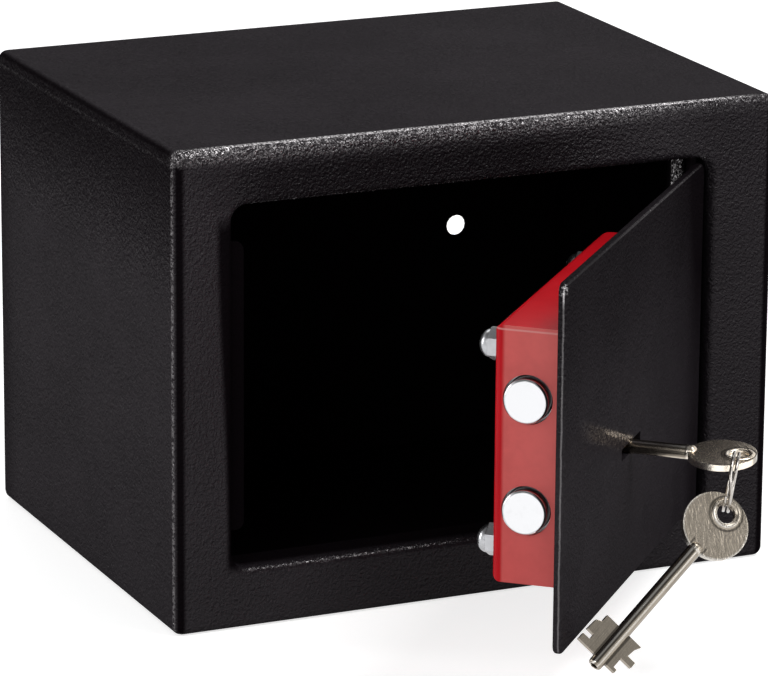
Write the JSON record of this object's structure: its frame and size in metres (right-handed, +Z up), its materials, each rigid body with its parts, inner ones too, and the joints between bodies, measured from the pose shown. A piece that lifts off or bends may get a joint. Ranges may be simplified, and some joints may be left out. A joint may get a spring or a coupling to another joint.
{
  "type": "portable car safe",
  "caption": "Sheet-steel key-lock safe box with a swing door, a folded lock cover, round sliding bolts and keys on a split ring.",
  "frame": {"origin": "centre of the body's underside", "axes": "+X towards the hinge side, +Y towards the back panel, +Z up"},
  "size_m": [0.23, 0.3012, 0.172],
  "materials": {
    "black_powder": "black fine-wrinkle powder coat",
    "door_powder": "dark grey fine-wrinkle powder coat",
    "red_powder": "smooth red powder coat, satin",
    "chrome": "bright plated, polished",
    "zinc_steel": "zinc plated, satin",
    "key_nickel": "cast and nickel plated, satin",
    "plain_steel": "plain pressed steel",
    "brass": "plain turned brass"
  },
  "bodies": {
    "safe_body": {"body_shell": "black_powder", "back_panel": "black_powder", "keeper_strip": "black_powder", "hinge_bracket_upper": "black_powder", "hinge_bracket_lower": "black_powder"},
    "door": {"door_plate": "door_powder", "hinge_rod": "black_powder", "lock_cover": "red_powder", "cover_stud_1": "zinc_steel", "cover_stud_2": "zinc_steel", "cover_stud_3": "zinc_steel", "cover_stud_4": "zinc_steel", "cap_nut_1": "zinc_steel", "cap_nut_2": "zinc_steel", "cap_nut_3": "zinc_steel", "cap_nut_4": "zinc_steel", "bolt_guide": "plain_steel", "rotor_bearing": "brass", "lock_plate": "zinc_steel", "lock_pillar_lower": "plain_steel", "lock_pillar_upper": "plain_steel", "lever_post": "plain_steel", "lever_spring": "plain_steel", "lock_back_cap": "zinc_steel"},
    "bolts": {"bolt_carriage": "plain_steel", "bolt_lower": "chrome", "bolt_upper": "chrome", "follower_pin": "plain_steel", "gate_stump": "plain_steel"},
    "rotor": {"key_rotor": "brass", "rotor_circlip": "plain_steel"},
    "levers": {"lever_1": "brass", "lever_2": "brass", "lever_3": "brass"},
    "lock_key": {"key_1": "key_nickel"},
    "ring": {"split_ring": "zinc_steel"},
    "spare_key": {"key_2": "key_nickel"}
  },
  "joints": [
    {"name": "door_hinge", "type": "hinge", "parent": "safe_body", "child": "door", "pos_m": [0.084, -0.082, 0.0865], "axis": [0, 0, 1], "range_deg": [-47.6, 40]},
    {"name": "key_turn", "type": "hinge", "parent": "door", "child": "rotor", "pos_m": [0.02217, -0.14972, 0.07125], "axis": [0.7385, -0.6743, 0], "range_deg": [-5, 175]},
    {"name": "bolt_throw", "type": "slide", "parent": "door", "child": "bolts", "axis": [-0.6743, -0.7385, 0], "range_m": [-0.00034, 0.01167]},
    {"name": "lever_lift", "type": "hinge", "parent": "door", "child": "levers", "pos_m": [0.04691, -0.12262, 0.07125], "axis": [0.7385, -0.6743, 0], "range_deg": [-1.5, 1.5]},
    {"name": "key_withdraw", "type": "slide", "parent": "rotor", "child": "lock_key", "axis": [0.7385, -0.6743, 0], "range_m": [0, 0.04]},
    {"name": "ring_swing", "type": "hinge", "parent": "lock_key", "child": "ring", "pos_m": [0.05158, -0.18105, 0.07125], "axis": [0.7385, -0.6743, 0], "range_deg": [-4, 4]},
    {"name": "spare_key_swing", "type": "hinge", "parent": "ring", "child": "spare_key", "pos_m": [0.04361, -0.18859, 0.05515], "axis": [-0.0616, -0.8662, 0.4958], "range_deg": [0, 5]}
  ],
  "couplings": [
    {"joint": "bolt_throw", "follows": "key_turn", "m_per_rad": 0.0038197}
  ]
}
